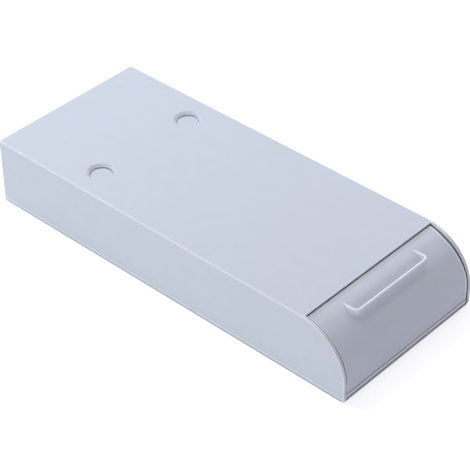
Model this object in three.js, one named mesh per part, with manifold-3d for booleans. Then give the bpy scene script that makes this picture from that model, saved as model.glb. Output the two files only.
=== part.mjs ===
// A storage box that hangs under a desk: a case with a quarter-round nose and one pull-out drawer.
// Millimetres, +Z up. The drawer opens towards -Y. The origin is the middle of the case's footprint.

import * as THREE from 'three';
import { mergeVertices } from 'three/addons/utils/BufferGeometryUtils.js';
import Module from 'manifold-3d';

const wasm = await Module();
wasm.setup();

// The case, outside
const caseWidth = 130;
const caseLength = 315;
const caseHeight = 51;
const noseRadius = 38;
const topSetback = 34.4; // from the nose back to the front edge of the top
const rearCornerRadius = 3;
const lowerEdgeRadius = 1.2;

// Walls
const sideWall = 2.5;
const topWall = 2.5;
const rearWall = 2.5;
const panelThickness = 3;
const panelLipDepth = 2; // lip along the panel's front edge, as high as the runners
const panelStepHeight = 1.4; // shadow step under the panel's front edge
const panelStepDepth = 1.5;
const frontWall = 2.5;
const endPlate = 2;
const trayWall = 1.8;
const trayFloor = 2;

// Clearances
const seatGap = 0.3; // between pieces that rest on or are screwed to each other
const slideGap = 0.5; // beside and above whatever slides
const shadowGap = 1; // the line that shows beside and above the drawer front
const lowerGap = 1.1; // the line that shows under it
const frontInset = 0.8; // the drawer front lies this far inside the cheeks' outline

// Round recesses in the top
const recessSpacing = 85;
const recessFromRear = 80;
const recessRimRadius = 10.2;
const recessFloorRadius = 8;
const recessDepth = 2.6;
const cupWall = 1.8;
const cupFloor = 2;

// Screw bosses beside the tray
const bossRadius = 2.9;
const bossWeb = 2;
const bossFromWall = 3.6; // from the middle of a boss to the side or rear wall
const frontBossSetback = 75;
const pilotRadius = 1.3;
const pilotDepth = 9;

// Runners: ribs on the bottom panel that carry the tray, ribs under the top that hold it down
const glideSpacing = 90;
const glideWidth = 2.5;
const glideHeight = 1;
const glideInset = 6;
const holdDownWidth = 2;
const holdDownInset = 4;
const leadIn = 3;

// Tray
const rimClearance = 1.5; // from the tray's rim to the cups of the recesses
const rimLip = 1;
const rimLipHeight = 2;
const trayCornerRadius = 3;
const trayEdgeRadius = 2;
const trayFrontWallHeight = 12.5;
const earLength = 4;
const earHeight = 14;
const earTipRadius = 1;

// Pull: a rib on the drawer front, U-shaped in plan, level along its top
const pullSpan = 71.2; // between the middles of the two legs
const pullSetback = 15.4; // from the nose back to the middle of the bar
const pullDrop = 2.6; // from the top of the case down to the top of the pull
const pullThickness = 1.8;
const pullCornerRadius = 4;
const pullTopRadius = 0.6;
const pullOuterFillet = 1.8;
const pullInnerFillet = 0.8;
const filletSink = 0.03; // how far a fillet's end dips into the surface that it runs out on
const pullRootDepth = 1; // how far the rib's foot reaches into the wall of the front
const pullRootRun = 2.5; // how far each leg runs on inside the wall behind its root

// Screws
const screwCoreRadius = 1;
const screwHoleRadius = 1.4;
const screwHeadRadius = 2.2;
const screwConeHeight = 1.4;
const screwPanHeight = 1.6;
const screwTipLength = 1.2;
const screwHeadSink = 0.2; // how deep a countersunk head lies in the panel
const bottomScrewLength = 9;
const frontScrewLength = 6.4;
const driveSpan = 2.4;
const driveWidth = 0.7;
const driveDepth = 0.7;
const frontBossRadius = 3;
const frontBossSkin = 1;
const lowerScrewSetback = 14;
const lowerScrewHeight = 13;
const upperScrewSetback = 26;
const upperScrewHeight = 32;

// Working values
const overrun = 2; // how far a cut runs past the face that it opens
const fuse = 0.5; // how deep a rib or boss reaches into the wall that it grows from
const chordError = 0.015; // the most that a facet leaves its arc by
const legSteps = 8;
const cornerSteps = 8;
const roundSteps = 4;
const filletSteps = 5;
const rimSteps = 8;

// Places that several pieces share
const nose = -caseLength / 2;
const rear = caseLength / 2;
const innerHalf = caseWidth / 2 - sideWall;
const innerTop = caseHeight - topWall;
const innerRear = rear - rearWall;
const runnerTop = panelThickness + glideHeight; // top of the panel's lip and runners
const cupBottom = caseHeight - recessDepth - cupFloor;
const trayRim = cupBottom - rimClearance;
const trayBottom = runnerTop + seatGap;
const bossX = innerHalf - bossFromWall;
const bossPlaces = { front: nose + frontBossSetback, rear: innerRear - bossFromWall };
const trayRimHalf = bossX - bossRadius - slideGap;
const trayHalf = trayRimHalf - rimLip;
const trayInset = frontInset + frontWall + seatGap;
const trayFront = nose + trayInset;
const trayRear = bossPlaces.rear - bossRadius - seatGap;
const frontSurfaceRadius = noseRadius - frontInset;
const frontScrewPlaces = {
  lower: [nose + lowerScrewSetback, lowerScrewHeight],
  upper: [nose + upperScrewSetback, upperScrewHeight],
};
const sides = { left: -1, right: 1 };

const axisX = new THREE.Vector3(1, 0, 0);
const axisY = new THREE.Vector3(0, 1, 0);
const axisZ = new THREE.Vector3(0, 0, 1);

// The angle between neighbouring points of an arc of this radius.
function chordAngle(radius) {
  return 2 * Math.acos(1 - chordError / radius);
}

// How many facets a full round of this radius gets, in whole quarters.
function roundFacets(radius) {
  return 4 * Math.ceil(Math.PI / 2 / chordAngle(radius));
}

// A closed outline from its corners, each [across, up, radius of its rounding].
function roundedOutline(corners) {
  const points = [];
  corners.forEach(([across, up, radius], index) => {
    const corner = new THREE.Vector2(across, up);
    if (radius === 0) {
      points.push(corner);
      return;
    }
    const before = corners[(index + corners.length - 1) % corners.length];
    const after = corners[(index + 1) % corners.length];
    const toBefore = new THREE.Vector2(before[0], before[1]).sub(corner).normalize();
    const toAfter = new THREE.Vector2(after[0], after[1]).sub(corner).normalize();
    const halfAngle = Math.acos(toBefore.dot(toAfter)) / 2;
    const towardsCentre = toBefore.clone().add(toAfter).normalize();
    const centre = corner.clone().addScaledVector(towardsCentre, radius / Math.sin(halfAngle));
    const start = corner.clone().addScaledVector(toBefore, radius / Math.tan(halfAngle));
    const sweep = Math.PI - 2 * halfAngle;
    const turn = Math.sign(toAfter.cross(toBefore));
    const steps = Math.ceil(sweep / chordAngle(radius));
    for (let step = 0; step <= steps; step += 1) {
      points.push(start.clone().rotateAround(centre, (turn * sweep * step) / steps));
    }
  });
  return points;
}

// A solid from a closed geometry whose shared corners are merged.
function solid(geometry) {
  geometry.deleteAttribute('normal');
  geometry.deleteAttribute('uv');
  const merged = mergeVertices(geometry);
  const index = merged.getIndex().array;
  const triVerts = [];
  for (let corner = 0; corner < index.length; corner += 3) {
    const [a, b, c] = index.slice(corner, corner + 3);
    if (a !== b && b !== c && c !== a) triVerts.push(a, b, c); // a lathe leaves flat ones on its axis
  }
  return new wasm.Manifold(new wasm.Mesh({
    numProp: 3,
    vertProperties: new Float32Array(merged.getAttribute('position').array),
    triVerts: new Uint32Array(triVerts),
  }));
}

function extrude(points, depth) {
  return new THREE.ExtrudeGeometry(new THREE.Shape(points), { depth, bevelEnabled: false });
}

// A prism of an outline drawn in (y, z), between two places along x.
function prismX(points, from, to) {
  const geometry = extrude(points, to - from).translate(0, 0, from);
  return solid(geometry.applyMatrix4(new THREE.Matrix4().makeBasis(axisY, axisZ, axisX)));
}

// A prism of an outline drawn in (x, z), between two places along y.
function prismY(points, from, to) {
  const geometry = extrude(points, to - from).translate(0, 0, -to);
  return solid(geometry.applyMatrix4(new THREE.Matrix4().makeBasis(axisX, axisZ, axisY.clone().negate())));
}

// A prism of an outline drawn in (x, y), between two heights.
function prismZ(points, from, to) {
  return solid(extrude(points, to - from).translate(0, 0, from));
}

// A turned solid with its axis along z. Its profile, [radius, height], starts and ends on the axis.
function turned(profile, facets) {
  const points = profile.map(([radius, height]) => new THREE.Vector2(radius, height));
  return solid(new THREE.LatheGeometry(points, facets).rotateX(Math.PI / 2));
}

function cylinder(radius, from, to) {
  return turned([[0, from], [radius, from], [radius, to], [0, to]], roundFacets(radius));
}

function rectangle(left, right, low, high) {
  const corners = [[left, low], [right, low], [right, high], [left, high]];
  return corners.map(([across, up]) => new THREE.Vector2(across, up));
}

function partMesh(name, body, material) {
  const { vertProperties, triVerts } = body.getMesh();
  const geometry = new THREE.BufferGeometry();
  geometry.setAttribute('position', new THREE.BufferAttribute(vertProperties, 3));
  geometry.setIndex(new THREE.BufferAttribute(triVerts, 1));
  geometry.computeVertexNormals();
  const mesh = new THREE.Mesh(geometry, material);
  mesh.name = name;
  return mesh;
}

function satinPlastic() {
  return new THREE.MeshStandardMaterial({ color: '#ccd4e2', roughness: 0.5, metalness: 0 });
}

function trayPlastic() {
  return new THREE.MeshStandardMaterial({ color: '#c6cedc', roughness: 0.55, metalness: 0 });
}

function zincSteel() {
  return new THREE.MeshStandardMaterial({ color: '#b9bcc0', roughness: 0.35, metalness: 1 });
}

// The block that the case is hollowed from, the meeting of its side view, plan and front view.
function caseBlock() {
  const sideView = roundedOutline([
    [nose, 0, lowerEdgeRadius],
    [rear, 0, 0],
    [rear, caseHeight, 0],
    [nose, caseHeight, noseRadius],
  ]);
  const plan = roundedOutline([
    [-caseWidth / 2, nose, 0],
    [caseWidth / 2, nose, 0],
    [caseWidth / 2, rear, rearCornerRadius],
    [-caseWidth / 2, rear, rearCornerRadius],
  ]);
  const frontView = roundedOutline([
    [-caseWidth / 2, 0, lowerEdgeRadius],
    [caseWidth / 2, 0, lowerEdgeRadius],
    [caseWidth / 2, caseHeight, 0],
    [-caseWidth / 2, caseHeight, 0],
  ]);
  return prismX(sideView, -caseWidth / 2, caseWidth / 2)
    .intersect(prismZ(plan, 0, caseHeight))
    .intersect(prismY(frontView, nose, rear));
}

// A prism with the case's nose, drawn this far inside its outline, that runs back to a place along y.
function nosePrism(inset, back, half) {
  const outline = roundedOutline([
    [nose + inset, -overrun, 0],
    [back, -overrun, 0],
    [back, caseHeight - inset, 0],
    [nose + inset, caseHeight - inset, noseRadius - inset],
  ]);
  return prismX(outline, -half, half);
}

// The case is open below, where the bottom panel goes, and between the cheeks, where the drawer front goes.
function caseHollow() {
  const innerCornerRadius = rearCornerRadius - rearWall;
  const plan = roundedOutline([
    [-innerHalf, nose - overrun, 0],
    [innerHalf, nose - overrun, 0],
    [innerHalf, innerRear, innerCornerRadius],
    [-innerHalf, innerRear, innerCornerRadius],
  ]);
  const mouth = rectangle(-innerHalf, innerHalf, nose - overrun, nose + topSetback);
  return prismZ(plan, -overrun, innerTop).add(prismZ(mouth, 0, caseHeight + overrun));
}

// The profile of a recess, from the middle of its floor up a steep wall that rounds over to the rim.
function recessProfile() {
  const profile = [[0, caseHeight - recessDepth]];
  for (let step = 0; step <= rimSteps; step += 1) {
    const angle = (Math.PI / 2) * (step / rimSteps);
    const radius = recessRimRadius - (recessRimRadius - recessFloorRadius) * Math.cos(angle);
    profile.push([radius, caseHeight - recessDepth * (1 - Math.sin(angle))]);
  }
  profile.push([recessRimRadius, caseHeight + overrun], [0, caseHeight + overrun]);
  return profile;
}

// A boss stands between the bottom panel and the top, joined to the side wall by a web.
function caseBoss(side, y) {
  const low = panelThickness + seatGap;
  const high = innerTop + fuse;
  const webEnds = [side * bossX, side * (innerHalf + fuse)].sort((a, b) => a - b);
  const web = prismZ(rectangle(webEnds[0], webEnds[1], y - bossWeb / 2, y + bossWeb / 2), low, high);
  return cylinder(bossRadius, low, high).translate([side * bossX, y, 0]).add(web);
}

function holdDownRib(side) {
  const front = nose + topSetback + holdDownInset;
  const low = trayRim + slideGap;
  const sideView = [
    [front, innerTop + fuse],
    [front, innerTop],
    [front + leadIn, low],
    [innerRear + fuse, low],
    [innerRear + fuse, innerTop + fuse],
  ].map(([along, up]) => new THREE.Vector2(along, up));
  return prismX(sideView, side * trayHalf - holdDownWidth / 2, side * trayHalf + holdDownWidth / 2);
}

function caseShell() {
  let body = caseBlock().subtract(caseHollow());
  const recess = turned(recessProfile(), roundFacets(recessRimRadius));
  const cup = cylinder(recessFloorRadius + cupWall, cupBottom, innerTop + fuse);
  for (const side of Object.values(sides)) {
    const place = [(side * recessSpacing) / 2, rear - recessFromRear, 0];
    body = body.add(holdDownRib(side)).add(cup.translate(place)).subtract(recess.translate(place));
    for (const y of Object.values(bossPlaces)) {
      const pilot = cylinder(pilotRadius, 0, panelThickness + pilotDepth);
      body = body.add(caseBoss(side, y)).subtract(pilot.translate([side * bossX, y, 0]));
    }
  }
  return partMesh('case_shell', body, satinPlastic());
}

// The hole that a countersunk head and its shank pass through, from below.
function countersunkHole() {
  const widest = screwHeadRadius + seatGap;
  const coneTop = screwHeadSink + screwConeHeight + seatGap;
  return turned([
    [0, -overrun],
    [widest, -overrun],
    [widest, screwHeadSink],
    [screwHoleRadius, coneTop],
    [screwHoleRadius, panelThickness + overrun],
    [0, panelThickness + overrun],
  ], roundFacets(screwHeadRadius));
}

function glideRib(side) {
  const low = panelThickness - fuse;
  const front = nose + frontInset + glideInset;
  const back = innerRear - glideInset;
  const sideView = [
    [front, low],
    [back, low],
    [back - leadIn, runnerTop],
    [front + leadIn, runnerTop],
  ].map(([along, up]) => new THREE.Vector2(along, up));
  const middle = (side * glideSpacing) / 2;
  return prismX(sideView, middle - glideWidth / 2, middle + glideWidth / 2);
}

function bottomPanel() {
  const half = innerHalf - seatGap;
  const front = nose + frontInset;
  const back = innerRear - seatGap;
  const cornerRadius = rearCornerRadius - rearWall;
  const plan = roundedOutline([
    [-half, front, 0],
    [half, front, 0],
    [half, back, cornerRadius],
    [-half, back, cornerRadius],
  ]);
  const sideView = roundedOutline([
    [front, panelStepHeight, 0],
    [front + panelStepDepth, panelStepHeight, 0],
    [front + panelStepDepth, 0, 0],
    [back, 0, 0],
    [back, panelThickness, 0],
    [front + panelLipDepth, panelThickness, 0],
    [front + panelLipDepth, runnerTop, 0],
    [front, runnerTop, 0],
  ]);
  let body = prismZ(plan, 0, runnerTop).intersect(prismX(sideView, -half, half));
  for (const side of Object.values(sides)) {
    body = body.add(glideRib(side));
    for (const y of Object.values(bossPlaces)) {
      body = body.subtract(countersunkHole().translate([side * bossX, y, 0]));
    }
  }
  return partMesh('bottom_panel', body, satinPlastic());
}

function trayBlock() {
  const sideView = roundedOutline([
    [trayFront, trayBottom, trayEdgeRadius],
    [trayRear, trayBottom, trayEdgeRadius],
    [trayRear, trayRim, 0],
    [trayFront, trayRim, 0],
  ]);
  const plan = roundedOutline([
    [-trayHalf, trayFront, 0],
    [trayHalf, trayFront, 0],
    [trayHalf, trayRear, trayCornerRadius],
    [-trayHalf, trayRear, trayCornerRadius],
  ]);
  const frontView = roundedOutline([
    [-trayHalf, trayBottom, trayEdgeRadius],
    [trayHalf, trayBottom, trayEdgeRadius],
    [trayHalf, trayRim, 0],
    [-trayHalf, trayRim, 0],
  ]);
  return prismX(sideView, -trayHalf, trayHalf)
    .intersect(prismZ(plan, trayBottom, trayRim))
    .intersect(prismY(frontView, trayFront, trayRear));
}

// The lip round the tray's sides and rear, under the rim.
function trayLip() {
  const plan = roundedOutline([
    [-trayRimHalf, trayFront, 0],
    [trayRimHalf, trayFront, 0],
    [trayRimHalf, trayRear, trayCornerRadius],
    [-trayRimHalf, trayRear, trayCornerRadius],
  ]);
  return prismZ(plan, trayRim - rimLipHeight, trayRim);
}

// The room inside the tray. Above the low front wall it opens to the curved drawer front.
function trayHollow() {
  const half = trayHalf - trayWall;
  const floor = trayBottom + trayFloor;
  const front = trayFront + trayWall;
  const back = trayRear - trayWall;
  const wallTop = trayBottom + trayFrontWallHeight;
  const sideView = roundedOutline([
    [front, floor, trayCornerRadius],
    [back, floor, trayCornerRadius],
    [back, trayRim + overrun, 0],
    [nose, trayRim + overrun, 0],
    [nose, wallTop, 0],
    [front, wallTop, 0],
  ]);
  const plan = roundedOutline([
    [-half, nose, 0],
    [half, nose, 0],
    [half, back, trayCornerRadius - trayWall],
    [-half, back, trayCornerRadius - trayWall],
  ]);
  const frontView = roundedOutline([
    [-half, floor, trayCornerRadius],
    [half, floor, trayCornerRadius],
    [half, trayRim + overrun, 0],
    [-half, trayRim + overrun, 0],
  ]);
  return prismX(sideView, -half, half)
    .intersect(prismZ(plan, floor, trayRim + overrun))
    .intersect(prismY(frontView, nose, back));
}

// An ear beside the tray's rear end, which meets the case's front boss when the drawer is out.
function trayEar(side) {
  const tip = innerHalf - slideGap;
  const root = trayHalf - fuse;
  const plan = roundedOutline([
    [root, trayRear - earLength, 0],
    [tip, trayRear - earLength, earTipRadius],
    [tip, trayRear, earTipRadius],
    [root, trayRear, 0],
  ]);
  const ear = prismZ(plan, trayRim - earHeight, trayRim);
  return side === sides.right ? ear : ear.mirror([1, 0, 0]);
}

// The open tray, whose front follows the inside of the drawer front.
function drawerTray() {
  let body = trayBlock()
    .add(trayLip())
    .intersect(nosePrism(trayInset, trayRear + overrun, trayRimHalf + overrun));
  for (const side of Object.values(sides)) body = body.add(trayEar(side));
  body = body.subtract(trayHollow());
  for (const side of Object.values(sides)) {
    for (const [y, z] of Object.values(frontScrewPlaces)) {
      const hole = cylinder(screwHoleRadius, trayHalf - trayWall - overrun, trayHalf + overrun);
      body = body.subtract(hole.rotate([0, side * 90, 0]).translate([0, y, z]));
    }
  }
  return partMesh('drawer_tray', body, trayPlastic());
}

// The height of the drawer front's surface at a place along y.
function frontSurface(y) {
  const along = y - (nose + noseRadius);
  return caseHeight - noseRadius + Math.sqrt(frontSurfaceRadius * frontSurfaceRadius - along * along);
}

// The pull's path in plan: out along one leg, round a corner, across the bar and back along the other leg.
// Each station holds a place and the direction that faces away from the fingers.
function pullPath() {
  const half = pullSpan / 2;
  const bar = nose + pullSetback;
  const top = caseHeight - pullDrop;
  const rise = top - (caseHeight - noseRadius);
  const rootY = nose + noseRadius - Math.sqrt(frontSurfaceRadius * frontSurfaceRadius - rise * rise);
  const cornerY = bar + pullCornerRadius;
  const stations = [];
  for (let step = 0; step < legSteps; step += 1) {
    const y = rootY + pullRootRun + ((cornerY - rootY - pullRootRun) * step) / legSteps;
    stations.push({ x: -half, y, outX: -1, outY: 0 });
  }
  for (let step = 0; step <= cornerSteps; step += 1) {
    const angle = (Math.PI / 2) * (step / cornerSteps);
    const outX = -Math.cos(angle);
    const outY = -Math.sin(angle);
    stations.push({
      x: -half + pullCornerRadius + pullCornerRadius * outX,
      y: cornerY + pullCornerRadius * outY,
      outX,
      outY,
    });
  }
  const others = stations.map(({ x, y, outX, outY }) => ({ x: -x, y, outX: -outX, outY }));
  return [...stations, ...others.reverse()];
}

// The pull's section at a station, as [distance outwards, height], from its outer foot to its inner one.
// Behind its roots the rib keeps its least height and runs on inside the wall.
function pullSection({ y, outY }) {
  const top = caseHeight - pullDrop;
  const half = pullThickness / 2;
  const baseAt = (out) => Math.min(frontSurface(y + outY * out), top - pullTopRadius);
  const flank = (sign, fillet) => {
    const points = [];
    const height = top - baseAt(sign * half);
    const reach = Math.min(fillet, height / 2);
    const edge = Math.min(pullTopRadius, height / 2);
    const foot = sign * (half + fillet);
    points.push([foot, baseAt(foot) - pullRootDepth]);
    for (let step = 0; step <= filletSteps; step += 1) {
      const angle = (Math.PI / 2) * (step / filletSteps);
      const out = sign * (half + reach * (1 - Math.sin(angle)));
      points.push([out, baseAt(out) + reach * (1 - Math.cos(angle)) - filletSink]);
    }
    for (let step = 0; step <= roundSteps; step += 1) {
      const angle = (Math.PI / 2) * (step / roundSteps);
      const out = sign * (half - edge * (1 - Math.cos(angle)));
      points.push([out, top - edge * (1 - Math.sin(angle))]);
    }
    return points;
  };
  return [...flank(1, pullOuterFillet), ...flank(-1, pullInnerFillet).reverse()];
}

// The pull as one lofted solid: a section at each station, joined side by side and closed at both ends.
function pullRib() {
  const stations = pullPath();
  const sections = stations.map(pullSection);
  const count = sections[0].length;
  const positions = [];
  stations.forEach(({ x, y, outX, outY }, index) => {
    for (const [out, z] of sections[index]) positions.push(x + outX * out, y + outY * out, z);
  });
  const faces = [];
  for (let index = 0; index + 1 < stations.length; index += 1) {
    for (let point = 0; point < count; point += 1) {
      const a = index * count + point;
      const b = index * count + ((point + 1) % count);
      faces.push(a, b + count, b, a, a + count, b + count);
    }
  }
  for (const [index, flip] of [[0, false], [stations.length - 1, true]]) {
    const outline = sections[index].map(([out, z]) => new THREE.Vector2(out, z));
    for (const [a, b, c] of THREE.ShapeUtils.triangulateShape(outline, [])) {
      const corners = flip ? [c, b, a] : [a, b, c];
      faces.push(...corners.map((corner) => corner + index * count));
    }
  }
  const geometry = new THREE.BufferGeometry();
  geometry.setAttribute('position', new THREE.Float32BufferAttribute(positions, 3));
  geometry.setIndex(faces);
  return solid(geometry);
}

// The curved front, a shell with a plate at each end. Its arc is drawn past the crown, for the room to trim.
function frontShell() {
  const half = innerHalf - shadowGap;
  const blankBack = nose + noseRadius + overrun;
  return nosePrism(frontInset, blankBack, half)
    .subtract(nosePrism(frontInset + frontWall, blankBack + overrun, half - endPlate));
}

// The room between the cheeks that the drawer front and its pull keep to.
function frontRoom() {
  const half = innerHalf - shadowGap;
  const back = nose + topSetback - shadowGap;
  return prismX(rectangle(nose, back, runnerTop + lowerGap, caseHeight), -half, half);
}

function drawerFront() {
  let body = frontShell().add(pullRib()).intersect(frontRoom());
  const plateInside = innerHalf - shadowGap - endPlate;
  for (const side of Object.values(sides)) {
    for (const [y, z] of Object.values(frontScrewPlaces)) {
      const boss = cylinder(frontBossRadius, trayHalf + seatGap, plateInside + fuse);
      const pilot = cylinder(pilotRadius, trayHalf, plateInside + endPlate - frontBossSkin);
      body = body.add(boss.rotate([0, side * 90, 0]).translate([0, y, z]));
      body = body.subtract(pilot.rotate([0, side * 90, 0]).translate([0, y, z]));
    }
  }
  return partMesh('drawer_front', body, satinPlastic());
}

// The cross-shaped drive recess in a head whose face lies at height zero and looks down.
function driveRecess() {
  const arm = rectangle(-driveSpan / 2, driveSpan / 2, -driveWidth / 2, driveWidth / 2);
  const bar = prismZ(arm, -overrun, driveDepth);
  return bar.add(bar.rotate([0, 0, 90]));
}

// A screw with its head's face at height zero and its shank pointing up.
function screwBody(headProfile, length) {
  return turned([
    [0, 0],
    ...headProfile,
    [screwCoreRadius, length - screwTipLength],
    [0, length],
  ], roundFacets(screwHeadRadius)).subtract(driveRecess());
}

function countersunkScrew() {
  return screwBody([[screwHeadRadius, 0], [screwCoreRadius, screwConeHeight]], bottomScrewLength);
}

function panScrew() {
  const edge = screwPanHeight / 2;
  return screwBody([
    [screwHeadRadius - edge, 0],
    [screwHeadRadius, edge],
    [screwHeadRadius, screwPanHeight],
    [screwCoreRadius, screwPanHeight],
  ], frontScrewLength + screwPanHeight);
}

function bottomScrew(end, sideName) {
  const mesh = partMesh(`bottom_screw_${end}_${sideName}`, countersunkScrew(), zincSteel());
  mesh.position.set(sides[sideName] * bossX, bossPlaces[end], screwHeadSink);
  return mesh;
}

function frontScrew(sideName, placeName) {
  const [y, z] = frontScrewPlaces[placeName];
  const mesh = partMesh(`front_screw_${sideName}_${placeName}`, panScrew(), zincSteel());
  mesh.rotation.y = (sides[sideName] * Math.PI) / 2;
  mesh.position.set(sides[sideName] * (trayHalf - trayWall - seatGap - screwPanHeight), y, z);
  return mesh;
}

const caseGroup = new THREE.Group();
caseGroup.add(caseShell(), bottomPanel());
const drawerGroup = new THREE.Group();
drawerGroup.add(drawerTray(), drawerFront());
for (const sideName of Object.keys(sides)) {
  for (const end of Object.keys(bossPlaces)) caseGroup.add(bottomScrew(end, sideName));
  for (const placeName of Object.keys(frontScrewPlaces)) drawerGroup.add(frontScrew(sideName, placeName));
}

const storageBox = new THREE.Group();
storageBox.add(caseGroup, drawerGroup);

export default storageBox;
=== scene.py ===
# Under-desk storage box: a moulded case with a quarter-round nose and one pull-out drawer.
import math

import bmesh
import bpy
from mathutils import Matrix, Vector


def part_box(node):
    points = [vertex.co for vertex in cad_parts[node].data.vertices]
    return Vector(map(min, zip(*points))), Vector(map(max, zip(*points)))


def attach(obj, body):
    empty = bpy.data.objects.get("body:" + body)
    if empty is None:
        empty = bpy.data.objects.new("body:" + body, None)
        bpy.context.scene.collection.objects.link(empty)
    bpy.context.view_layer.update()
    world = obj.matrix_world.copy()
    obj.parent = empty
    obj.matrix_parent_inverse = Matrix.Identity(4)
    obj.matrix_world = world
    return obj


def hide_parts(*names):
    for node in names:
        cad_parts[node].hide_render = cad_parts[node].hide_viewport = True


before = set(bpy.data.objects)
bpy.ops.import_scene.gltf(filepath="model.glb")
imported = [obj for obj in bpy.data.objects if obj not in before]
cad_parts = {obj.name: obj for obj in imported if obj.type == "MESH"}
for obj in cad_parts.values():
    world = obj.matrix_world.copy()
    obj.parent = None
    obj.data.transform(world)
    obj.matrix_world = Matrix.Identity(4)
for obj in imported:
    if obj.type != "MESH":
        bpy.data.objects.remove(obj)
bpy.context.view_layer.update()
scene = bpy.context.scene
mm = 0.001
near = 0.1 * mm            # what is this near to a face of the piece's box lies on it
weld = 0.002 * mm          # points this near to each other are one
roundedFrom = 40           # degrees: outside edges that turn by more than this are rounded
creaseFrom = 38            # degrees: edges that still turn by more than this are shaded sharp
noiseSpan = (0.3, 0.7)     # most of what a noise gives lies between these

# the camera stands where the photograph was taken from
cameraView = {
    "azimuth": -47.149,    # degrees, from the front towards the left
    "elevation": 38.208,
    "roll": -0.521,
    "distance": 1.2155,
    "slideRight": 0.004820,
    "slideUp": 0.009567,
    "lens": 135.07,
    "sensor": 36,
    "clip": (0.05, 20),
}


def makeCamera(view):
    a, e, r = (math.radians(view[k]) for k in ("azimuth", "elevation", "roll"))
    back = Vector((math.sin(a) * math.cos(e), -math.cos(a) * math.cos(e), math.sin(e)))
    level = Vector((math.cos(a), math.sin(a), 0))
    upright = back.cross(level)
    right = level * math.cos(r) + upright * math.sin(r)
    up = upright * math.cos(r) - level * math.sin(r)
    data = bpy.data.cameras.new("photoCamera")
    data.lens = view["lens"]
    data.sensor_width = view["sensor"]
    data.clip_start, data.clip_end = view["clip"]
    camera = bpy.data.objects.new("photoCamera", data)
    scene.collection.objects.link(camera)
    place = back * view["distance"] + right * view["slideRight"] + up * view["slideUp"]
    turn = Matrix((right, up, back)).transposed().to_4x4()
    camera.matrix_world = Matrix.Translation(place) @ turn
    scene.camera = camera


makeCamera(cameraView)
print("camera ready")

# finishes: the case and the drawer front are one pigmented plastic, the tray a duller grade of it
# a shade is painted shade that darkens a place softly, where less light reaches: how strong it is, then the places
# along y and the distances from the middle at which it starts, is full, starts to fade and is gone
# a ring does the same round a point on either side: how strong, its middle, and the radii
casePaint = {
    "colour": (0.640, 0.690, 0.800),
    "edgeColour": (0.92, 0.95, 1.00),       # painted highlight: rounded edges and pale bands are drawn in this paler colour
    "roughness": 0.42,
    "edgeRoughness": 0.36,
    "ior": 1.49,
    "edgeClean": 0.9,                       # how far a painted highlight stays free of the painted shade
    "creviceColour": (0.13, 0.135, 0.16),   # painted shade in seams and corners, where little light reaches
    "creviceReach": 3 * mm,
    "creviceRange": (0.11, 0.68),           # openness at which the painted shade is full, and gone
    "creviceSamples": 12,
    "grainSize": 0.35 * mm,
    "grainHeight": 0.004 * mm,
    "mottle": 0.010,                        # share by which the colour drifts
    "mottleSize": 9 * mm,
    "sheenShift": 0.04,                     # how far the roughness wanders
    "sheenSize": 25 * mm,
    "wearSize": 4 * mm,                     # of the patches that break up the painted highlight along an edge
    # painted shade round the floor of each recess in the top
    "rings": (
        (0.30, (42.5 * mm, 77.5 * mm), (7.3 * mm, 7.6 * mm, 8.0 * mm, 8.2 * mm)),
    ),
    # painted shade on the inside faces of the cheeks, beside the drawer front
    "shades": (
        (0.42, (-158 * mm, -157.6 * mm, -155 * mm, -141 * mm), (62.2 * mm, 62.4 * mm, 62.55 * mm, 62.7 * mm)),
    ),
}
# the front's painted shade: a painted shadow along its rear edge under the top's edge, painted shade in the hollow
# behind the pull and under the pull, and less painted shade at its ends
frontPaint = dict(
    casePaint, creviceRange=(0.06, 0.48), rings=(),
    shades=(
        (0.24, (-127.8 * mm, -125.4 * mm, -110 * mm, -109 * mm), (-2 * mm, -1 * mm, 64 * mm, 65 * mm)),
        (0.17, (-141.3 * mm, -140.8 * mm, -137 * mm, -132 * mm), (-2 * mm, -1 * mm, 30 * mm, 36 * mm)),
        (0.08, (-147 * mm, -144.6 * mm, -143.5 * mm, -143.1 * mm), (-2 * mm, -1 * mm, 31 * mm, 35 * mm)),
        (-0.3, (-160 * mm, -159 * mm, -110 * mm, -109 * mm), (61.0 * mm, 61.4 * mm, 65 * mm, 66 * mm)),
    ),
)
trayPaint = dict(
    casePaint, colour=(0.600, 0.650, 0.760), edgeColour=(0.72, 0.76, 0.85),
    roughness=0.5, edgeRoughness=0.40, grainHeight=0.007 * mm, rings=(), shades=(),
)


def addNode(tree, kind, place, **values):
    node = tree.nodes.new(kind)
    node.location = place
    for name, value in values.items():
        if hasattr(node, name):
            setattr(node, name, value)
        else:
            node.inputs[name.replace("_", " ")].default_value = value
    return node


def clearedTree(block):
    block.use_nodes = True
    block.node_tree.nodes.clear()
    return block.node_tree


def rampBetween(tree, place, low, high, start, end):
    ramp = addNode(tree, "ShaderNodeValToRGB", place)
    ramp.color_ramp.elements[0].position = start
    ramp.color_ramp.elements[1].position = end
    ramp.color_ramp.elements[0].color = (*low, 1)
    ramp.color_ramp.elements[1].color = (*high, 1)
    return ramp


def mapRange(tree, place, fromMin, fromMax, toMin, toMax):
    node = addNode(tree, "ShaderNodeMapRange", place)
    for socket, value in zip(("From Min", "From Max", "To Min", "To Max"), (fromMin, fromMax, toMin, toMax)):
        node.inputs[socket].default_value = value
    return node


# 0 up to a, 1 from b to c and 0 again from d on, softly
def softBand(tree, value, place, a, b, c, d):
    x, y = place
    up, down = mapRange(tree, (x, y), a, b, 0.0, 1.0), mapRange(tree, (x, y - 250), c, d, 1.0, 0.0)
    both = addNode(tree, "ShaderNodeMath", (x + 200, y), operation="MULTIPLY")
    for node, socket in ((up, 0), (down, 1)):
        node.interpolation_type = "SMOOTHSTEP"
        tree.links.new(value, node.inputs["Value"])
        tree.links.new(node.outputs["Result"], both.inputs[socket])
    return both.outputs[0]


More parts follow.
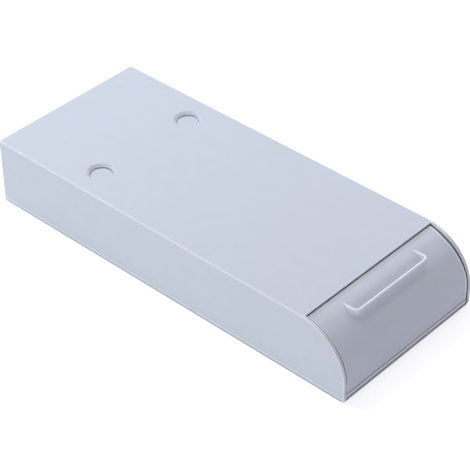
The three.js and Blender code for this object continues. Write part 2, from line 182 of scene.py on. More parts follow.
def addShare(tree, total, mask, amount, place):
    more = addNode(tree, "ShaderNodeMath", place, operation="MULTIPLY_ADD")
    more.inputs[1].default_value = amount
    tree.links.new(mask, more.inputs[0])
    tree.links.new(total, more.inputs[2])
    return more.outputs[0]


# the paint's rings and shades of painted shade, on top of the painted shade that total already gives, by place in the
# part's own frame
def addShades(tree, total, coords, paint):
    link = tree.links.new
    parts = addNode(tree, "ShaderNodeSeparateXYZ", (-800, 1200))
    aside = addNode(tree, "ShaderNodeMath", (-600, 1200), operation="ABSOLUTE")   # left and right alike
    link(coords.outputs["Object"], parts.inputs[0])
    link(parts.outputs["X"], aside.inputs[0])
    row = 1200
    for amount, middle, radii in paint["rings"]:
        level = addNode(tree, "ShaderNodeCombineXYZ", (-400, row))
        reach = addNode(tree, "ShaderNodeVectorMath", (-200, row), operation="DISTANCE")
        reach.inputs[1].default_value = (*middle, 0)
        link(aside.outputs[0], level.inputs["X"])
        link(parts.outputs["Y"], level.inputs["Y"])
        link(level.outputs[0], reach.inputs[0])
        total = addShare(tree, total, softBand(tree, reach.outputs["Value"], (0, row), *radii), amount, (500, row))
        row += 500
    for amount, along, across in paint["shades"]:
        both = addNode(tree, "ShaderNodeMath", (300, row), operation="MULTIPLY")
        link(softBand(tree, parts.outputs["Y"], (-200, row), *along), both.inputs[0])
        link(softBand(tree, aside.outputs[0], (0, row), *across), both.inputs[1])
        total = addShare(tree, total, both.outputs[0], amount, (500, row))
        row += 500
    return total


def mouldedPlastic(name, paint):
    material = bpy.data.materials.new(name)
    tree = clearedTree(material)
    link = tree.links.new
    out = addNode(tree, "ShaderNodeOutputMaterial", (1200, 0))
    skin = addNode(tree, "ShaderNodeBsdfPrincipled", (900, 0))
    skin.inputs["IOR"].default_value = paint["ior"]
    link(skin.outputs[0], out.inputs[0])
    coords = addNode(tree, "ShaderNodeTexCoord", (-900, 0))

    # slow drift of the colour, as pigment settles in a thin wall
    drift = addNode(tree, "ShaderNodeTexNoise", (-600, 300), Scale=1 / paint["mottleSize"], Detail=4.0, Roughness=0.6)
    link(coords.outputs["Object"], drift.inputs["Vector"])
    dark = [c * (1 - paint["mottle"]) for c in paint["colour"]]
    pale = [c * (1 + paint["mottle"]) for c in paint["colour"]]
    tint = rampBetween(tree, (-300, 300), dark, pale, 0.35, 0.65)
    link(drift.outputs["Fac"], tint.inputs["Fac"])

    # painted highlight: edges carry it by face, softer bands carry it by point, and a noise breaks the paleness up a
    # little
    edge = addNode(tree, "ShaderNodeAttribute", (-600, 550), attribute_name="edgeWear")
    soft = addNode(tree, "ShaderNodeAttribute", (-800, 650), attribute_name="softWear")
    either = addNode(tree, "ShaderNodeMath", (-400, 600), operation="MAXIMUM")
    patchNoise = addNode(tree, "ShaderNodeTexNoise", (-600, 750), Scale=1 / paint["wearSize"], Detail=3.0)
    patchShare = mapRange(tree, (-300, 750), *noiseSpan, 0.75, 1.0)
    highlighted = addNode(tree, "ShaderNodeMath", (0, 650), operation="MULTIPLY")
    colour = addNode(tree, "ShaderNodeMix", (300, 300), data_type="RGBA")
    colour.inputs[7].default_value = (*paint["edgeColour"], 1)
    link(edge.outputs["Fac"], either.inputs[0])
    link(soft.outputs["Fac"], either.inputs[1])
    link(coords.outputs["Object"], patchNoise.inputs["Vector"])
    link(patchNoise.outputs["Fac"], patchShare.inputs["Value"])
    link(either.outputs[0], highlighted.inputs[0])
    link(patchShare.outputs["Result"], highlighted.inputs[1])
    link(highlighted.outputs[0], colour.inputs[0])
    link(tint.outputs["Color"], colour.inputs[6])

    # painted shade in crevices, which the painted highlights are kept out of
    openness = addNode(tree, "ShaderNodeAmbientOcclusion", (300, 650), Distance=paint["creviceReach"])
    openness.samples = paint["creviceSamples"]
    closed = mapRange(tree, (500, 650), *paint["creviceRange"], 1.0, 0.0)
    spared = addNode(tree, "ShaderNodeMath", (500, 450), operation="MULTIPLY_ADD")
    spared.inputs[1].default_value = -paint["edgeClean"]
    spared.inputs[2].default_value = 1
    shadeShare = addNode(tree, "ShaderNodeMath", (700, 550), operation="MULTIPLY")
    shaded = addNode(tree, "ShaderNodeMix", (700, 300), data_type="RGBA")
    shaded.inputs[7].default_value = (*paint["creviceColour"], 1)
    link(openness.outputs["AO"], closed.inputs["Value"])
    link(highlighted.outputs[0], spared.inputs[0])
    link(closed.outputs["Result"], shadeShare.inputs[0])
    link(spared.outputs[0], shadeShare.inputs[1])
    link(addShades(tree, shadeShare.outputs[0], coords, paint), shaded.inputs[0])
    link(colour.outputs[2], shaded.inputs[6])
    link(shaded.outputs[2], skin.inputs["Base Color"])

    # roughness wanders slowly over the moulding, and the edges are smoother
    haze = addNode(tree, "ShaderNodeTexNoise", (-600, -50), Scale=1 / paint["sheenSize"], Detail=2.0)
    link(coords.outputs["Object"], haze.inputs["Vector"])
    rough, shift = paint["roughness"], paint["sheenShift"]
    spread = mapRange(tree, (-300, -50), *noiseSpan, rough - shift, rough + shift)
    link(haze.outputs["Fac"], spread.inputs["Value"])
    gloss = addNode(tree, "ShaderNodeMix", (300, -50), data_type="FLOAT")
    gloss.inputs[3].default_value = paint["edgeRoughness"]
    link(highlighted.outputs[0], gloss.inputs[0])
    link(spread.outputs["Result"], gloss.inputs[2])
    link(gloss.outputs[0], skin.inputs["Roughness"])

    # fine spark-eroded grain
    grain = addNode(tree, "ShaderNodeTexNoise", (-600, -350), Scale=1 / paint["grainSize"], Detail=2.0, Roughness=0.6)
    link(coords.outputs["Object"], grain.inputs["Vector"])
    bump = addNode(tree, "ShaderNodeBump", (300, -350), Strength=1.0, Distance=paint["grainHeight"])
    link(grain.outputs["Fac"], bump.inputs["Height"])
    link(bump.outputs["Normal"], skin.inputs["Normal"])
    return material


casePlastic = mouldedPlastic("casePlastic", casePaint)
frontPlastic = mouldedPlastic("frontPlastic", frontPaint)
trayPlastic = mouldedPlastic("trayPlastic", trayPaint)
print("plastics ready")


# one straight cut square to an axis, through the whole mesh or some of it
def cutAcross(bm, axis, place, geom=None):
    across = Vector([float(i == axis) for i in range(3)])
    geom = geom or bm.verts[:] + bm.edges[:] + bm.faces[:]
    return bmesh.ops.bisect_plane(bm, geom=geom, plane_co=across * place, plane_no=across, dist=weld)


# each moulded piece starts from its node's own solid, cleaned of the triangles that its flats are cut into
def nodeMesh(nodeName, flat, cuts=()):
    bm = bmesh.new()
    bm.from_mesh(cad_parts[nodeName].data)
    bmesh.ops.remove_doubles(bm, verts=bm.verts, dist=weld)
    bmesh.ops.dissolve_degenerate(bm, dist=weld, edges=bm.edges)
    flat = math.radians(flat)
    bmesh.ops.dissolve_limit(bm, angle_limit=flat, verts=bm.verts, edges=bm.edges)
    # straight cuts through the holes, so that no stray edge runs from a hole to a rounded edge
    for axis, place in cuts:
        for item in cutAcross(bm, axis, place)["geom_cut"]:
            if isinstance(item, bmesh.types.BMEdge):
                item.seam = True
    if cuts:
        bmesh.ops.dissolve_limit(bm, angle_limit=flat, verts=bm.verts, edges=bm.edges, delimit={"SEAM"})
    bm.normal_update()
    return bm


# rounds every sharp outside edge by the radius that radiusOf gives for it, and marks the new faces for the painted
# edge highlight
def roundEdges(bm, radiusOf, steps):
    layer = bm.edges.layers.float.new("bevel_weight_edge")
    radii = {}
    for edge in bm.edges:
        if edge.is_manifold and edge.calc_face_angle_signed() > math.radians(roundedFrom):
            radius = radiusOf(edge, (edge.verts[0].co + edge.verts[1].co) / 2)
            if radius:
                radii[edge] = radius
    widest = max(radii.values())
    for edge, radius in radii.items():
        edge[layer] = radius / widest
    for face in bm.faces:
        face.material_index = 0
    mesh = bpy.data.meshes.new("rounding")
    bm.to_mesh(mesh)
    bm.free()
    mesh.materials.clear()
    for slot in range(2):     # the second marks the new faces
        mesh.materials.append(casePlastic)
    blank = bpy.data.objects.new("rounding", mesh)
    scene.collection.objects.link(blank)
    bevel = blank.modifiers.new("rounding", "BEVEL")
    bevel.limit_method = "WEIGHT"
    bevel.offset_type = "OFFSET"
    bevel.width = widest
    bevel.segments = steps
    bevel.use_clamp_overlap = False
    bevel.loop_slide = True
    bevel.material = 1
    rounded = bmesh.new()
    rounded.from_mesh(blank.evaluated_get(bpy.context.evaluated_depsgraph_get()).to_mesh())
    bpy.data.objects.remove(blank)
    bpy.data.meshes.remove(mesh)
    highlightLayer = rounded.faces.layers.float.new("edgeWear")
    for face in rounded.faces:
        face[highlightLayer] = float(face.material_index == 1)
    return rounded


def finishPiece(bm, name, body, slot, material, *nodes):
    mesh = bpy.data.meshes.new(name)
    bm.to_mesh(mesh)
    bm.free()
    mesh.materials.clear()
    mesh.materials.append(material)
    for polygon in mesh.polygons:
        polygon.use_smooth = True
        polygon.material_index = 0
    mesh.set_sharp_from_angle(angle=math.radians(creaseFrom))
    piece = bpy.data.objects.new(name, mesh)
    scene.collection.objects.link(piece)
    weighted = piece.modifiers.new("weightedNormals", "WEIGHTED_NORMAL")
    weighted.keep_sharp = True
    weighted.weight = 50
    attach(piece, body)
    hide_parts(*nodes)


caseEdges = {
    "flat": 1.2,               # degrees within which neighbouring faces are one
    "steps": 4,                # rows of faces in a rounded edge
    "outline": 0.85 * mm,      # rounding of the top's long edges, the rear and the outside of the cheeks
    "arcs": 0.5 * mm,          # of the outside edges of the cheeks' round fronts
    "arcEnd": 37.5 * mm,       # and how far back from the nose these reach
    "mouth": 0.35 * mm,        # of the front edge of the top
    "mouthSides": 0.5 * mm,    # of the inside edges of the cheeks
    "mouthDepth": 36 * mm,     # how far back from the nose these two reach
    "mouthFrom": 2 * mm,       # and the height at which they start
    "cornerRoom": 4 * mm,      # the rear corners' arcs lie within this of both faces
    "cornerFrom": 3 * mm,      # the rear corners are drawn out from this radius
    "cornerTo": 1.5 * mm,      # to this one
    "cornerInside": 2 * mm,    # nearer to the arc's middle than this it is the inside of the wall, which stays
    "foot": 2.2 * mm,          # radius of the lower front corner of each cheek, seen from the side
    "footSteps": 6,
    "cheek": 2.5 * mm,         # thickness of a cheek
    "setback": 34.4 * mm,      # from the nose back to the front edge of the top
    "lipBand": 0.9 * mm,       # band along that edge that gets a painted highlight
    "lipDepth": 2 * mm,        # and how far down from the top its faces can lie
    "lipRub": 0.6,
    "sideRub": 0.65,           # painted highlight share on the long top edges
    "frontRub": 0.25,          # how far the cheeks' front faces share the painted highlight of their edges
    "footLine": (1.8 * mm, 3.1 * mm),   # heights between which the sides' feet get a painted highlight
    "footRub": 0.5,
    "recessAcross": 42.5 * mm,          # the recesses' middles
    "recessAlong": 77.5 * mm,
    "recessWall": (0.01 * mm, 2.4 * mm),    # depths between which a point belongs to the wall of a recess
    "rimRadius": 10.2 * mm,
    "rimSlope": 0.80,          # the wall's upper part falls from the rim by this much for each mm inwards
    "wallBand": (8.05 * mm, 8.6 * mm),      # radii between which the wall gets a painted highlight
    "wallRub": 0.45,
}


def makeCaseShell(edges):
    low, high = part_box("case_shell")

    def radiusOf(edge, middle):
        room = edges["cornerRoom"]
        if middle.z < near:
            return 0
        if abs(middle.x) > high.x - near or middle.y > high.y - near:
            return edges["arcs" if middle.y < low.y + edges["arcEnd"] else "outline"]
        if middle.y > high.y - room and abs(middle.x) > high.x - room and middle.z > high.z - near:
            return edges["outline"]
        if middle.y < low.y + edges["mouthDepth"] and middle.z > edges["mouthFrom"]:
            return edges["mouthSides" if abs(edge.verts[0].co.x - edge.verts[1].co.x) < near else "mouth"]
        return 0

    cuts = [(0, edges["recessAcross"]), (0, -edges["recessAcross"]), (1, edges["recessAlong"])]
    bm = roundEdges(nodeMesh("case_shell", edges["flat"], cuts), radiusOf, edges["steps"])
    bandEnd = low.y + edges["setback"] + edges["lipBand"]
    cutAcross(bm, 1, bandEnd)
    for place in edges["footLine"]:
        cutAcross(bm, 2, place)

    # the recesses' walls fall evenly from the rim, and the rear corners are drawn out
    softWear = bm.verts.layers.float.new("softWear")
    wallTop, wallFoot = (high.z - depth for depth in edges["recessWall"])
    drawnOut = edges["cornerFrom"] - edges["cornerTo"]
    for vert in bm.verts:
        reach = math.hypot(abs(vert.co.x) - edges["recessAcross"], vert.co.y - edges["recessAlong"])
        # a band of each recess wall gets a painted highlight
        if vert.co.z > wallFoot and edges["wallBand"][0] < reach < edges["wallBand"][1]:
            vert[softWear] = edges["wallRub"]
        if wallFoot < vert.co.z < wallTop and reach < edges["rimRadius"]:
            vert.co.z = min(vert.co.z, high.z - edges["rimSlope"] * (edges["rimRadius"] - reach))
        across = abs(vert.co.x) - (high.x - edges["cornerFrom"])
        along = vert.co.y - (high.y - edges["cornerFrom"])
        out = math.hypot(across, along)
        if across > 0 and along > 0 and out > edges["cornerInside"]:
            vert.co.x += math.copysign(drawnOut * (1 - across / out), vert.co.x)
            vert.co.y += drawnOut * (1 - along / out)
    bm.normal_update()

    # painted highlights on edges, lips, cheek fronts and feet
    highlightLayer = bm.faces.layers.float["edgeWear"]
    inside = high.x - edges["cheek"]
    footLow, footHigh = edges["footLine"]
    for face in bm.faces:
        middle, normal = face.calc_center_median(), face.normal
        onCheek, onRight = abs(middle.x) > inside, middle.x > inside
        onOutside = abs(middle.x) > high.x - near or middle.y > high.y - near
        onLip = not onCheek and middle.y < bandEnd and middle.z > high.z - edges["lipDepth"]
        if face[highlightLayer] and abs(middle.x) > high.x - edges["outline"] and middle.z > high.z - edges["outline"]:
            face[highlightLayer] = edges["sideRub"]
        if onCheek and abs(normal.x) < 0.1 and normal.y < -0.2:     # faces forwards
            face[highlightLayer] = edges["frontRub"]
        if onRight and normal.z > 0.1 and normal.y > -0.2:          # the right cheek's top gets no painted highlight
            face[highlightLayer] = 0
        if onLip and normal.z > 0.2:
            face[highlightLayer] = edges["lipRub"]
        if onOutside and footLow < middle.z < footHigh:
            face[highlightLayer] = edges["footRub"]

    # the foot: rings of cuts, then every point outside the corner's arc is drawn in to it
    radius = edges["foot"]
    centre = (low.y + radius, low.z + radius)
    for step in range(1, edges["footSteps"] + 1):
        reach = radius * (1 - math.cos(math.radians(90 * step / edges["footSteps"])))
        for axis, place in ((1, low.y + reach), (2, low.z + reach)):
            around = set()
            for face in bm.faces:
                if min(v.co.y for v in face.verts) < centre[0] and min(v.co.z for v in face.verts) < centre[1]:
                    around.update((face, *face.edges, *face.verts))
            cutAcross(bm, axis, place, list(around))
    for vert in bm.verts:
        along, up = vert.co.y - centre[0], vert.co.z - centre[1]
        if along < 0 and up < 0 and math.hypot(along, up) > radius:
            scale = radius / math.hypot(along, up)
            vert.co.y, vert.co.z = centre[0] + along * scale, centre[1] + up * scale
    finishPiece(bm, "caseShell", "case", "case_plastic", casePlastic, "case_shell")


frontEdges = {
    "flat": 0.4,
    "steps": 4,
    "outline": 0.45 * mm,      # along the ends and the foot of the outer face
    "back": 0.35 * mm,         # along its upper, rear edge
    "outsideDepth": (0.6 * mm, 0.4 * mm),   # an edge within this of the crown, or of the front, is an outside one
    "backReach": 0.3 * mm,     # how much nearer to the case the rear edge comes
    "backBand": 0.6 * mm,      # and how deep the band is that moves with it
    "noseMiddle": (-119.5 * mm, 13 * mm),   # y and z of the axis that the face is round about
    "faceRadius": 37.2 * mm,
    # by angle up the nose, in degrees: how far the face stands out, or lies in
    "settle": ((0, 0.4 * mm), (20, 0.6 * mm), (62, -0.9 * mm), (74, -0.7 * mm), (90, -0.1 * mm)),
    "settleLeft": 0.5,         # share of it at the left end, where it lies in
    "settleFades": 2.5 * mm,   # above the face, so that the pull's top stays
    "wall": 1.5 * mm,          # what lies within this under the face goes with it
    "endBand": 1.6 * mm,       # band along the right end that gets a painted highlight
    "pullPointsFrom": 0.25 * mm,   # points this far above the face belong to the pull
    "pullFacesFrom": 0.4 * mm,     # and so do faces this far above it
    "pullHalf": 39 * mm,       # half the room that it takes from left to right
    "pullTop": 48.4 * mm,      # height of its top
    "pullCrown": 0.7 * mm,     # how far down the full painted highlight on it reaches
    "pullFoot": 43.7 * mm,     # height at which the softer painted highlight below that ends
    "pullSoftRub": 0.6,
}


def makeDrawerFront(edges):
    low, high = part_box("drawer_front")

    def radiusOf(edge, middle):
        crown, front = edges["outsideDepth"]
        atEnd = abs(middle.x) > high.x - near
        atBack = middle.y > high.y - near
        atFoot = middle.z < low.z + near
        onTop = middle.z > high.z - crown
        outside = onTop if atBack else middle.y < low.y + front if atFoot else True
        if (atEnd or atBack or atFoot) and outside and not (atEnd and atBack and not onTop):
            return edges["back"] if atBack else edges["outline"]
        return 0

    bm = roundEdges(nodeMesh("drawer_front", edges["flat"]), radiusOf, edges["steps"])
    bandAt = high.x - edges["endBand"]
    cutAcross(bm, 0, bandAt)
    bm.normal_update()

    # the moulding has settled: its face isn't quite round
    noseY, noseZ = edges["noseMiddle"]
    settle = edges["settle"]
    softWear = bm.verts.layers.float.new("softWear")
    for vert in bm.verts:
        along, up = noseY - vert.co.y, vert.co.z - noseZ
        reach = math.hypot(along, up)
        above = reach - edges["faceRadius"]
        # the pull's outer faces get a painted highlight that grows towards its top
        if above > edges["pullPointsFrom"] and abs(vert.co.x) < edges["pullHalf"]:
            rise = (vert.co.z - edges["pullFoot"]) / (edges["pullTop"] - edges["pullFoot"])
            vert[softWear] = edges["pullSoftRub"] * min(1, max(0, rise))
        if vert.co.y > high.y - edges["backBand"]:
            vert.co.y += edges["backReach"]
        if above < -edges["wall"]:
            continue
        angle = math.degrees(math.atan2(max(up, 0), along))
        (a0, d0), (a1, d1) = next(pair for pair in zip(settle, settle[1:]) if angle <= pair[1][0] + 0.01)
        fade = min(1, max(0, 1 - above / edges["settleFades"]))
        shift = fade * (d0 + (d1 - d0) * (angle - a0) / (a1 - a0))
        if shift < 0:
            shift *= 1 - (1 - edges["settleLeft"]) * (high.x - vert.co.x) / (2 * high.x)
        vert.co.y -= shift * along / reach
        vert.co.z += shift * max(up, 0) / reach

    highlightLayer = bm.faces.layers.float["edgeWear"]
    for face in bm.faces:
        middle = face.calc_center_median()
        above = math.hypot(middle.y - noseY, middle.z - noseZ) - edges["faceRadius"]
        onPull = above > edges["pullFacesFrom"] and abs(middle.x) < edges["pullHalf"]
        # painted highlight along the right end
        if middle.x > bandAt and above > -edges["wall"]:
            face[highlightLayer] = 1
        # the pull's crown gets the full painted highlight
        if onPull and middle.z > edges["pullTop"] - edges["pullCrown"]:
            face[highlightLayer] = 1
    finishPiece(bm, "drawerFront", "drawer", "front_plastic", frontPlastic, "drawer_front")


panelEdges = {
    "flat": 1.0,
    "steps": 2,
    "lip": 0.3 * mm,           # round the lip and the shadow step under it
    "lipEnd": 4 * mm,
    "holes": 0.12 * mm,
    "lipRub": 0.8,             # the lip's face gets this much painted highlight
}


def makeBottomPanel(edges):
    low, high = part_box("bottom_panel")

    def radiusOf(edge, middle):
        if middle.y < low.y + edges["lipEnd"]:
            return edges["lip"] if abs(middle.x) < high.x - near else 0
        if middle.z < low.z + near and abs(middle.x) < high.x - near and middle.y < high.y - near:
            return edges["holes"]
        return 0

    screws = [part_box(f"bottom_screw_{end}_{side}") for end in ("front", "rear") for side in ("left", "right")]
    cuts = []
    for axis in (0, 1):
        places = {round((a[axis] + b[axis]) / 2, 6) for a, b in screws}
        cuts += [(axis, place) for place in sorted(places)]
    bm = roundEdges(nodeMesh("bottom_panel", edges["flat"], cuts), radiusOf, edges["steps"])
    highlightLayer = bm.faces.layers.float["edgeWear"]
    for face in bm.faces:
        if face.normal.y < -0.9 and face.calc_center_median().y < low.y + near:
            face[highlightLayer] = edges["lipRub"]
    finishPiece(bm, "bottomPanel", "case", "case_plastic", casePlastic, "bottom_panel")


trayEdges = {
    "flat": 1.0,
    "steps": 2,
    "hiddenEnd": 30 * mm,      # the end that lies against the drawer front
    "rim": 0.4 * mm,
    "rimDepth": 2.2 * mm,      # edges this near to the tray's top belong to its rim
    "small": 0.15 * mm,        # every other outside edge
}


def makeDrawerTray(edges):
    low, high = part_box("drawer_tray")

    def radiusOf(edge, middle):
        if middle.y < low.y + edges["hiddenEnd"]:
            return 0
        return edges["rim"] if middle.z > high.z - edges["rimDepth"] else edges["small"]

    bm = roundEdges(nodeMesh("drawer_tray", edges["flat"]), radiusOf, edges["steps"])
    finishPiece(bm, "drawerTray", "drawer", "tray_plastic", trayPlastic, "drawer_tray")


makeCaseShell(caseEdges)
makeDrawerFront(frontEdges)
makeBottomPanel(panelEdges)
makeDrawerTray(trayEdges)
print("moulded pieces ready")


screwShape = {
    "coreRadius": 1.0 * mm,
    "threadRadius": 1.3 * mm,
    "pitch": 1.0 * mm,
    "tipLength": 1.2 * mm,
    "headRadius": 2.2 * mm,
    "coneHeight": 1.4 * mm,
    "coneRim": 0.15 * mm,
    "coneFace": 0.94,          # radius of the flat face, as a share of the head's
    "panHeight": 1.6 * mm,
    "panFace": 0.55,
    "panArc": range(50, 91, 8),    # degrees from the axis at which the dome has its rings
    "panCrown": 0.8,           # share of the height that is domed
    "panUnder": 0.95,          # radius under the head, as a share of the head's
    "neck": 0.3 * mm,          # plain shank between the head and the thread
    "driveSpan": 2.4 * mm,
    "driveWidth": 0.7 * mm,
    "driveDepth": 0.8 * mm,
    "driveStart": 0.2 * mm,    # how far outside the head the cut starts
    "driveTaper": 0.6,         # how narrow the cross is at its floor
    "around": 32,
    "threadSteps": 8,          # rows of faces in one turn of the thread
    "threadFlank": 0.32,       # from crest to root, as a share of the pitch
}

steelLook = {
    "colour": (0.60, 0.61, 0.63),
    "dull": (0.47, 0.48, 0.49),    # where the zinc has clouded
    "cloudSize": 1.2 * mm,
    "roughness": (0.24, 0.42),
    "turning": 9.0,                # lathe rings in a millimetre
    "turningHeight": 0.003 * mm,
}


def zincSteel(look):
    material = bpy.data.materials.new("zincSteel")
    tree = clearedTree(material)
    link = tree.links.new
    out = addNode(tree, "ShaderNodeOutputMaterial", (900, 0))
    skin = addNode(tree, "ShaderNodeBsdfPrincipled", (600, 0))
    skin.inputs["Metallic"].default_value = 1
    link(skin.outputs[0], out.inputs[0])
    coords = addNode(tree, "ShaderNodeTexCoord", (-900, 0))
    cloud = addNode(tree, "ShaderNodeTexNoise", (-600, 200), Scale=1 / look["cloudSize"], Detail=3.0)
    link(coords.outputs["Object"], cloud.inputs["Vector"])
    tint = rampBetween(tree, (-300, 250), look["dull"], look["colour"], 0.35, 0.6)
    link(cloud.outputs["Fac"], tint.inputs["Fac"])
    link(tint.outputs["Color"], skin.inputs["Base Color"])
    spread = mapRange(tree, (-300, 0), *noiseSpan, look["roughness"][1], look["roughness"][0])
    link(cloud.outputs["Fac"], spread.inputs["Value"])
    link(spread.outputs["Result"], skin.inputs["Roughness"])

    # the lathe leaves fine rings: each point knows its distance from the screw's axis, in mm
    reach = addNode(tree, "ShaderNodeAttribute", (-900, -300), attribute_name="fromAxis")
    turns = addNode(tree, "ShaderNodeMath", (-600, -300), operation="MULTIPLY")
    turns.inputs[1].default_value = look["turning"] * 2 * math.pi
    ring = addNode(tree, "ShaderNodeMath", (-300, -300), operation="SINE")
    bump = addNode(tree, "ShaderNodeBump", (0, -300), Strength=1.0, Distance=look["turningHeight"])
    link(reach.outputs["Fac"], turns.inputs[0])
    link(turns.outputs[0], ring.inputs[0])
    link(ring.outputs[0], bump.inputs["Height"])
    link(bump.outputs["Normal"], skin.inputs["Normal"])
    return material


screwSteel = zincSteel(steelLook)


# head radii and depths below the head's face, from the face's middle outwards
def headProfile(shape, countersunk):
    r, core = shape["headRadius"], shape["coreRadius"]
    if countersunk:
        rim = shape["coneRim"]
        return [(r * shape["coneFace"], 0), (r, rim * 0.5), (r, rim), (core, shape["coneHeight"])]
    h = shape["panHeight"]
    turns = [math.radians(a) for a in shape["panArc"]]
    crown = [(r * math.sin(a), h * shape["panCrown"] * (1 - math.cos(a))) for a in turns]
    return [(r * shape["panFace"], 0.02 * h)] + crown + [(r, h * 0.9), (r * shape["panUnder"], h), (core, h)]


def screwMesh(shape, length, countersunk):
    bm = bmesh.new()
    around = shape["around"]
    rings = []

    def ring(depth, radiusAt):
        turn = [2 * math.pi * i / around for i in range(around)]
        rings.append([bm.verts.new((radiusAt(t) * math.cos(t), radiusAt(t) * math.sin(t), depth)) for t in turn])

    profile = headProfile(shape, countersunk)
    for radius, depth in profile:
        ring(depth, lambda t, radius=radius: radius)
    start = profile[-1][1] + shape["neck"]
    steps = int((length - start) / shape["pitch"] * shape["threadSteps"])
    for i in range(steps):
        depth = start + (length - start) * i / steps
        left = length - depth
        body = min(1, left / shape["tipLength"])
        rise = min(1, (depth - start) / shape["pitch"]) * body

        def radiusAt(t, depth=depth, rise=rise, body=body):
            place = (depth / shape["pitch"] - t / (2 * math.pi)) % 1
            crest = max(0, 1 - abs(place - 0.5) / shape["threadFlank"])
            return body * shape["coreRadius"] + rise * (shape["threadRadius"] - shape["coreRadius"]) * crest

        ring(depth, radiusAt)
    for above, below in zip(rings, rings[1:]):
        for i in range(around):
            j = (i + 1) % around
            bm.faces.new((above[i], above[j], below[j], below[i]))
    bm.faces.new(rings[0][::-1])
    tip = bm.verts.new((0, 0, length))
    for i in range(around):
        bm.faces.new((rings[-1][i], rings[-1][(i + 1) % around], tip))
    bmesh.ops.recalc_face_normals(bm, faces=bm.faces)
    return bm


# the cross for the driver, narrowing towards its floor
def driveMesh(shape):
    bm = bmesh.new()
    a, b = shape["driveSpan"] / 2, shape["driveWidth"] / 2
    arm = [(a, -b), (a, b), (b, b)]
    cross = [(x * c - y * d, x * d + y * c) for c, d in ((1, 0), (0, 1), (-1, 0), (0, -1)) for x, y in arm]
    taper = shape["driveTaper"]
    top = [bm.verts.new((x, y, -shape["driveStart"])) for x, y in cross]
    floor = [bm.verts.new((x * taper, y * taper, shape["driveDepth"])) for x, y in cross]
    for i in range(len(cross)):
        j = (i + 1) % len(cross)
        bm.faces.new((top[i], top[j], floor[j], floor[i]))
    bm.faces.new(top[::-1])
    bm.faces.new(floor)
    bmesh.ops.recalc_face_normals(bm, faces=bm.faces)
    return bm


def asObject(bm, name):
    mesh = bpy.data.meshes.new(name)
    bm.to_mesh(mesh)
    bm.free()
    blank = bpy.data.objects.new(name, mesh)
    scene.collection.objects.link(blank)
    return blank


def makeScrew(nodeName, face, direction, length, countersunk, body, shape):
    blank = asObject(screwMesh(shape, length, countersunk), "blank")
    drive = asObject(driveMesh(shape), "drive")
    cut = blank.modifiers.new("drive", "BOOLEAN")
    cut.operation = "DIFFERENCE"
    cut.solver = "EXACT"
    cut.object = drive
    bm = bmesh.new()
    bm.from_mesh(blank.evaluated_get(bpy.context.evaluated_depsgraph_get()).to_mesh())
    for spare in (blank, drive):
        bpy.data.objects.remove(spare)
    fromAxis = bm.verts.layers.float.new("fromAxis")
    for vert in bm.verts:
        vert[fromAxis] = math.hypot(vert.co.x, vert.co.y) / mm
    # the part's frame is turned so that the screw points along its own direction
    turn = Vector((0, 0, 1)).rotation_difference(Vector(direction)).to_matrix().to_4x4()
    bmesh.ops.transform(bm, matrix=Matrix.Translation(face) @ turn, verts=bm.verts)
    name = "".join(word.capitalize() for word in nodeName.split("_"))
    finishPiece(bm, name[0].lower() + name[1:], body, "screw_steel", screwSteel, nodeName)


screwCount = 0
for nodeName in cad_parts:
    if "screw" not in nodeName:
        continue
    low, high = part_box(nodeName)
    middle = (Vector(low) + Vector(high)) / 2
    if nodeName.startswith("bottom"):
        face, direction = Vector((middle.x, middle.y, low[2])), (0, 0, 1)
        makeScrew(nodeName, face, direction, high[2] - low[2], True, "case", screwShape)
    else:
        side = math.copysign(1, middle.x)
        headAt, tipAt = sorted((low[0], high[0]), key=abs)
        face, direction = Vector((headAt, middle.y, middle.z)), (side, 0, 0)
        makeScrew(nodeName, face, direction, abs(tipAt - headAt), False, "drawer", screwShape)
    screwCount += 1
print("screws ready:", screwCount)


# floor, backdrop and light
stageLook = {
    "floorHalf": 4,            # metres
    "floorColour": (0.80, 0.80, 0.82),
    "floorGlow": 0.58,         # seen by camera, gloss and clear rays only, so that the backdrop is white
    "glowColour": (0.95, 0.97, 1.0),
    "footHalf": (64.5 * mm, 157.3 * mm),   # half sizes of the box's outline on the floor, with its corner radius
    "footMiddle": 0.4 * mm,
    "footCorner": 3 * mm,
    "contact": (0, 0.5 * mm),    # distances from that outline between which the glow comes up
    "worldStrength": 0.377,
    "worldColour": (0.985, 0.952, 1.0),
}

# each lamp faces the box
lamps = {
    "rearSoft": {"place": (0.0, 0.964, 1.149), "size": 0.9, "power": 11.7, "colour": (0.905, 0.99, 1.0)},
    "rightSoft": {"place": (0.964, 0.0, 1.149), "size": 0.9, "power": 4.3, "colour": (1.0, 0.90, 0.85)},
    "frontLeftLow": {"place": (-1.055, -1.055, 0.157), "size": 0.3, "power": 0.8, "colour": (0.9, 0.82, 1.0)},
    "leftLow": {"place": (-1.492, 0.0, 0.157), "size": 0.3, "power": 5.5, "colour": (0.955, 1.0, 0.885)},
}


# 1 for a ray from the camera, from a reflection or through something clear, and 0 for one that only gathers light
def seenRays(tree, place):
    x, y = place
    path = addNode(tree, "ShaderNodeLightPath", (x, y))
    either = addNode(tree, "ShaderNodeMath", (x + 200, y), operation="MAXIMUM")
    seen = addNode(tree, "ShaderNodeMath", (x + 400, y), operation="MAXIMUM")
    tree.links.new(path.outputs["Is Camera Ray"], either.inputs[0])
    tree.links.new(path.outputs["Is Glossy Ray"], either.inputs[1])
    tree.links.new(either.outputs[0], seen.inputs[0])
    tree.links.new(path.outputs["Is Transmission Ray"], seen.inputs[1])
    return seen.outputs[0]


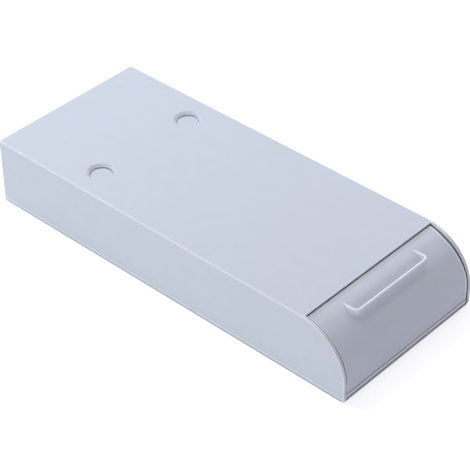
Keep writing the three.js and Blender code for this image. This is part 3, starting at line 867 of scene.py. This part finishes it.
def makeFloor(look):
    mesh = bpy.data.meshes.new("floor")
    half = look["floorHalf"]
    mesh.from_pydata([(-half, -half, 0), (half, -half, 0), (half, half, 0), (-half, half, 0)], [], [(0, 1, 2, 3)])
    floor = bpy.data.objects.new("floor", mesh)
    scene.collection.objects.link(floor)
    material = bpy.data.materials.new("floorSheet")
    tree = clearedTree(material)
    link = tree.links.new
    out = addNode(tree, "ShaderNodeOutputMaterial", (600, 0))
    total = addNode(tree, "ShaderNodeAddShader", (400, 0))
    matt = addNode(tree, "ShaderNodeBsdfDiffuse", (100, 100))
    matt.inputs["Color"].default_value = (*look["floorColour"], 1)
    glow = addNode(tree, "ShaderNodeEmission", (100, -100))
    glow.inputs["Color"].default_value = (*look["glowColour"], 1)
    amount = addNode(tree, "ShaderNodeMath", (-300, -100), operation="MULTIPLY")
    amount.inputs[1].default_value = look["floorGlow"]
    # distance from the box's rounded outline
    corner = look["footCorner"]
    coords = addNode(tree, "ShaderNodeTexCoord", (-1500, -400))
    shifted = addNode(tree, "ShaderNodeVectorMath", (-1300, -400), operation="SUBTRACT")
    shifted.inputs[1].default_value = (0, look["footMiddle"], 0)
    folded = addNode(tree, "ShaderNodeVectorMath", (-1100, -400), operation="ABSOLUTE")
    inner = addNode(tree, "ShaderNodeVectorMath", (-900, -400), operation="SUBTRACT")
    inner.inputs[1].default_value = (*(side - corner for side in look["footHalf"]), 0)
    outside = addNode(tree, "ShaderNodeVectorMath", (-700, -400), operation="MAXIMUM")
    reach = addNode(tree, "ShaderNodeVectorMath", (-500, -400), operation="LENGTH")
    link(coords.outputs["Object"], shifted.inputs[0])
    for before, after in zip((shifted, folded, inner, outside), (folded, inner, outside, reach)):
        link(before.outputs[0], after.inputs[0])
    clear = mapRange(tree, (-300, -350), corner + look["contact"][0], corner + look["contact"][1], 0.0, 1.0)
    faded = addNode(tree, "ShaderNodeMath", (-100, -100), operation="MULTIPLY")
    link(seenRays(tree, (-900, -100)), amount.inputs[0])
    link(amount.outputs[0], faded.inputs[0])
    link(reach.outputs["Value"], clear.inputs["Value"])
    link(clear.outputs["Result"], faded.inputs[1])
    link(faded.outputs[0], glow.inputs["Strength"])
    link(matt.outputs[0], total.inputs[0])
    link(glow.outputs[0], total.inputs[1])
    link(total.outputs[0], out.inputs[0])
    mesh.materials.append(material)


def makeWorld(look):
    world = bpy.data.worlds.new("studio")
    scene.world = world
    tree = clearedTree(world)
    link = tree.links.new
    out = addNode(tree, "ShaderNodeOutputWorld", (600, 0))
    mix = addNode(tree, "ShaderNodeMixShader", (400, 0))
    soft = addNode(tree, "ShaderNodeBackground", (100, 0))
    soft.inputs["Color"].default_value = (*look["worldColour"], 1)
    soft.inputs["Strength"].default_value = look["worldStrength"]
    white = addNode(tree, "ShaderNodeBackground", (100, -150))
    white.inputs["Color"].default_value = (1, 1, 1, 1)
    white.inputs["Strength"].default_value = 1
    link(seenRays(tree, (-300, 200)), mix.inputs[0])
    link(soft.outputs[0], mix.inputs[1])
    link(white.outputs[0], mix.inputs[2])
    link(mix.outputs[0], out.inputs[0])


def makeLamp(name, lamp):
    data = bpy.data.lights.new(name, "AREA")
    data.shape = "DISK"
    data.size = lamp["size"]
    data.energy = lamp["power"]
    data.color = lamp["colour"]
    light = bpy.data.objects.new(name, data)
    scene.collection.objects.link(light)
    light.location = lamp["place"]
    light.rotation_mode = "QUATERNION"
    light.rotation_quaternion = (-Vector(lamp["place"])).to_track_quat("-Z", "Y")


makeFloor(stageLook)
makeWorld(stageLook)
for lampName, lampSettings in lamps.items():
    makeLamp(lampName, lampSettings)
scene.view_settings.view_transform = "Standard"
print("stage ready")
